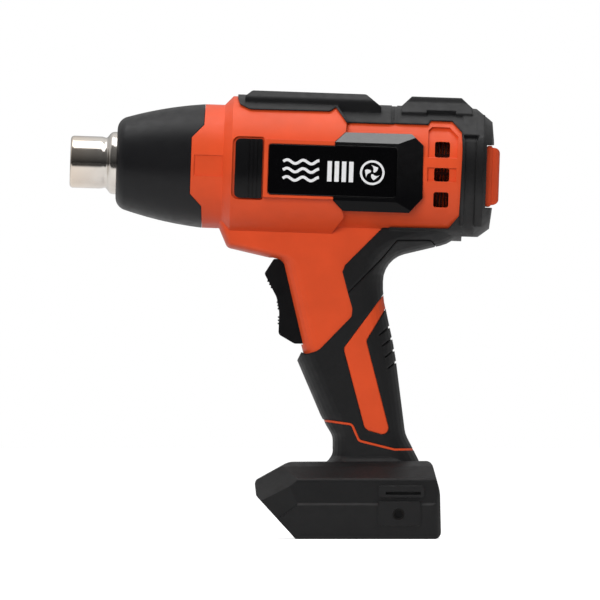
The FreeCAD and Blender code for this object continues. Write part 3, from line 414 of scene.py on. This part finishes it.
def nozzle_profile():
    """Closed (u, r) outline of the drawn steel nozzle in millimetres: rolled lip, pinch and sleeve."""
    front, roll, mouth, bore = 0.6, 1.6, 13.0, 12.0
    sleeve, sleeve_bore = 15.6, 14.6
    flange_front, flange_back, flange, corner = 46.0, 47.0, 20.4, 0.1
    lip = arc_points((front + roll, mouth - roll), roll, 90, 180, 8)
    rolled_in = [(0.8, 11.05), (1.4, 10.95), (2.2, 11.4), (3.2, bore)]
    inside = [(16.0, bore), (18.2, 11.6), (20.0, 13.4), (21.6, sleeve_bore)]
    back = [
        (flange_back - corner, sleeve_bore), (flange_back, sleeve_bore + 2 * corner),
        (flange_back, flange - 2 * corner), (flange_back - corner, flange),
    ]
    rim = [(flange_front + corner, flange), (flange_front, flange - 2 * corner), (flange_front, sleeve)]
    shoulder = [(22.6, sleeve), (21.5, 15.45), (20.7, 15.0), (20.0, 14.25), (19.4, 13.4)]
    pinch = [(18.8, 12.75), (18.2, 12.5), (17.6, 12.6), (16.8, 12.88), (15.8, mouth)]
    return lip + rolled_in + inside + back + rim + shoulder + pinch


def make_nozzle():
    nozzle = make_object("nozzle_turned", lathe("nozzle_turned", nozzle_profile()), "body", "nozzle_steel")
    nozzle.modifiers.new("shade", "WEIGHTED_NORMAL")
    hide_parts("nozzle")


# ---- Pictogram on the nameplates ----------------------------------------------------------------

PLATE_FACE_Y = 36.2
PRINT_LIFT = 0.03
PRINT_MIDDLE = -0.8


def ribbon(shape, points, width, place):
    """Flat band of a given width along (u, w) points, laid on a plate by place(u, w)."""
    left, right = [], []
    for i, point in enumerate(points):
        before, after = points[max(i - 1, 0)], points[min(i + 1, len(points) - 1)]
        along = Vector((after[0] - before[0], after[1] - before[1])).normalized()
        across = Vector((-along.y, along.x)) * (width / 2)
        left.append(shape.verts.new(place(point[0] + across.x, point[1] + across.y)))
        right.append(shape.verts.new(place(point[0] - across.x, point[1] - across.y)))
    strip(shape, left, right)


def print_waves(shape, place):
    """Three waves of hot air."""
    start, step, count = 107, 0.5, 37
    period, swing, stroke, spacing = 8, 0.9, 1.4, 4.2
    for row in (-1, 0, 1):
        wave = []
        for k in range(count):
            run = step * k
            rise = swing * math.sin(run * 2 * math.pi / period)
            wave.append((start + run, PRINT_MIDDLE + spacing * row + rise))
        ribbon(shape, wave, stroke, place)


def print_bars(shape, place):
    """Four equal bars."""
    start, pitch, stroke, half_height = 130.2, 3.6, 2.2, 5.1
    for k in range(4):
        u = start + pitch * k
        ribbon(shape, [(u, PRINT_MIDDLE - half_height), (u, PRINT_MIDDLE + half_height)], stroke, place)


def print_fan(shape, place):
    """Fan with three swept blades in a ring."""
    hub = (151.5, PRINT_MIDDLE)
    ring_radius, ring_stroke = 5.6, 1.1
    root, step, sweep, breadth = 0.9, 0.5, 7, 58
    ribbon(shape, arc_points(hub, ring_radius, 0, 360, 48), ring_stroke, place)
    for start in (0, 120, 240):
        edges = []
        for turn in (start, start + breadth):
            points = [polar(hub, root + step * i, turn + sweep * i) for i in range(7)]
            edges.append([shape.verts.new(place(*point)) for point in points])
        strip(shape, *edges)


def make_print(name, side):
    """Pictogram of hot air, heat and fan on one side's nameplate."""
    shape = bmesh.new()

    def place(u, w):
        return barrel_point(u, w, side * (PLATE_FACE_Y + PRINT_LIFT))

    for draw in (print_waves, print_bars, print_fan):
        draw(shape, place)
    make_object(name, mesh_from(name, shape), "body", "white_print")


# ---- Trigger spring -----------------------------------------------------------------------------

def spring_coil(name, start, length, radius, pitch, wire):
    """Closed round-wire helix along X from its start point, in millimetres."""
    shape = bmesh.new()
    steps, sides = 28, 12
    count = round(steps * length / pitch)
    rings = []
    for k in range(count + 1):
        angle = 2 * math.pi * k / steps
        outward = Vector((0, math.cos(angle), math.sin(angle)))
        along = Vector((pitch / (2 * math.pi), -radius * math.sin(angle), radius * math.cos(angle)))
        across = along.normalized().cross(outward)
        centre = Vector(start) + Vector((length * k / count, 0, 0)) + outward * radius
        ring = [centre + (outward * c + across * s) * wire for c, s in around(sides)]
        rings.append([shape.verts.new(point * MM) for point in ring])
    for first, second in zip(rings, rings[1:]):
        bridge(shape, first, second)
    shape.faces.new(rings[0])
    shape.faces.new(rings[-1])
    return round_mesh(name, shape)


def make_trigger_spring():
    """Return spring between the trigger and the switch; it rides with the trigger and its length stays
    fixed.
    """
    seat, gap, height, clear = 0.0, 22.0, 118.0, 0.65
    radius, pitch, wire = 3.2, 2.6, 0.45
    name = "trigger_return_spring"
    coil = spring_coil(name, (seat + clear, 0, height), gap - 2 * clear, radius, pitch, wire)
    spring = make_object(name, coil, "trigger", "spring_steel")
    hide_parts("trigger_spring")
    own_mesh(spring)


# ---- Studio -------------------------------------------------------------------------------------

WHITE = (1.0, 1.0, 1.0)


def area_light(name, place, target, size, power):
    """Rectangular lamp that faces its target."""
    lamp = bpy.data.lights.new(name, "AREA")
    lamp.shape = "RECTANGLE"
    lamp.size, lamp.size_y = size
    lamp.energy = power
    holder = bpy.data.objects.new(name, lamp)
    holder.location = place
    holder.rotation_euler = (Vector(target) - Vector(place)).to_track_quat("-Z", "Y").to_euler()
    bpy.context.scene.collection.objects.link(holder)
    return holder


def make_world():
    """White behind the tool; as a light, dim on the camera's side and bright above and behind."""
    world = bpy.data.worlds.new("studio")
    world.use_nodes = True
    sky = Nodes(world.node_tree)
    direction = sky.node("SeparateXYZ", Vector=sky.node("TexCoord").outputs["Generated"]).outputs
    climb = (0.0, 0.85)
    front = sky.spread(direction["Z"], 0.03, 0.18, climb)
    back = sky.spread(direction["Z"], 0.2, 0.9, climb)
    behind = sky.spread(direction["Y"], 0.0, 1.0, (-0.2, 0.2))
    glow = sky.mix(behind, front, back, "FLOAT")
    seen = sky.node("LightPath").outputs["Is Camera Ray"]
    background = sky.tree.nodes["Background"].inputs
    sky.link(sky.mix(seen, glow, 1.0, "FLOAT"), background["Strength"])
    sky.link(WHITE, background["Color"])
    bpy.context.scene.world = world


def floor_finish():
    """White floor; in glossy reflections it is pale near the tool and dark far in front of it."""
    f = Finish("floor_white")
    rays = f.node("LightPath").outputs
    nearness = f.spread(f.axis_value("Y"), 0.02, 1.0, (-0.62, -0.42))
    in_gloss = f.mix(nearness, (0.02, 0.02, 0.02), (0.85, 0.85, 0.85))
    bounced = f.mix(rays["Is Glossy Ray"], (0.44, 0.44, 0.44), in_gloss)
    f.set(Base_Color=f.mix(rays["Is Camera Ray"], bounced, (0.9, 0.9, 0.9)))
    seen_glow = f.math("MULTIPLY", rays["Is Camera Ray"], 0.7)
    gloss_glow = f.math("MULTIPLY", f.math("MULTIPLY", nearness, rays["Is Glossy Ray"]), 0.1)
    f.set(Emission_Color=WHITE, Emission_Strength=f.math("ADD", seen_glow, gloss_glow))
    f.set(Roughness=0.9, Specular_IOR_Level=0.0)
    return f


def make_floor():
    reach = 6.0
    corners = [(-reach, -reach, 0), (reach, -reach, 0), (reach, reach, 0), (-reach, reach, 0)]
    mesh = bpy.data.meshes.new("floor")
    mesh.from_pydata(corners, [], [(0, 1, 2, 3)])
    mesh.materials.append(floor_finish().material)
    floor = bpy.data.objects.new("floor", mesh)
    bpy.context.scene.collection.objects.link(floor)


def make_camera():
    """Level view of the left side from far off, the picture 300 mm wide at the object."""
    width, distance = 0.300, 10.0
    aim_x, aim_z = 7.7 * MM, 119.15 * MM
    lens = bpy.data.cameras.new("camera")
    lens.sensor_width = 36
    lens.lens = lens.sensor_width * distance / width
    lens.clip_end = 4 * distance
    camera = bpy.data.objects.new("camera", lens)
    camera.location = (aim_x, -distance, aim_z)
    camera.rotation_euler = (math.radians(90), 0, 0)
    bpy.context.scene.collection.objects.link(camera)
    bpy.context.scene.camera = camera


def make_studio():
    """Softbox above, and a large fill far in front that glossy surfaces don't mirror."""
    make_world()
    make_floor()
    make_camera()
    barrel = (0, 0, 0.13)
    area_light("top_softbox", (-0.05, -0.1, 1.2), barrel, (1.5, 0.7), 7.0)
    fill = area_light("front_fill", (-0.5, -2.2, 0.8), barrel, (1.6, 1.0), 36)
    fill.visible_glossy = False
    bpy.context.scene.view_settings.view_transform = "Standard"


dress_cad_nodes()
make_nozzle()
make_print("print_left", -1)
make_print("print_right", 1)
make_trigger_spring()
make_studio()
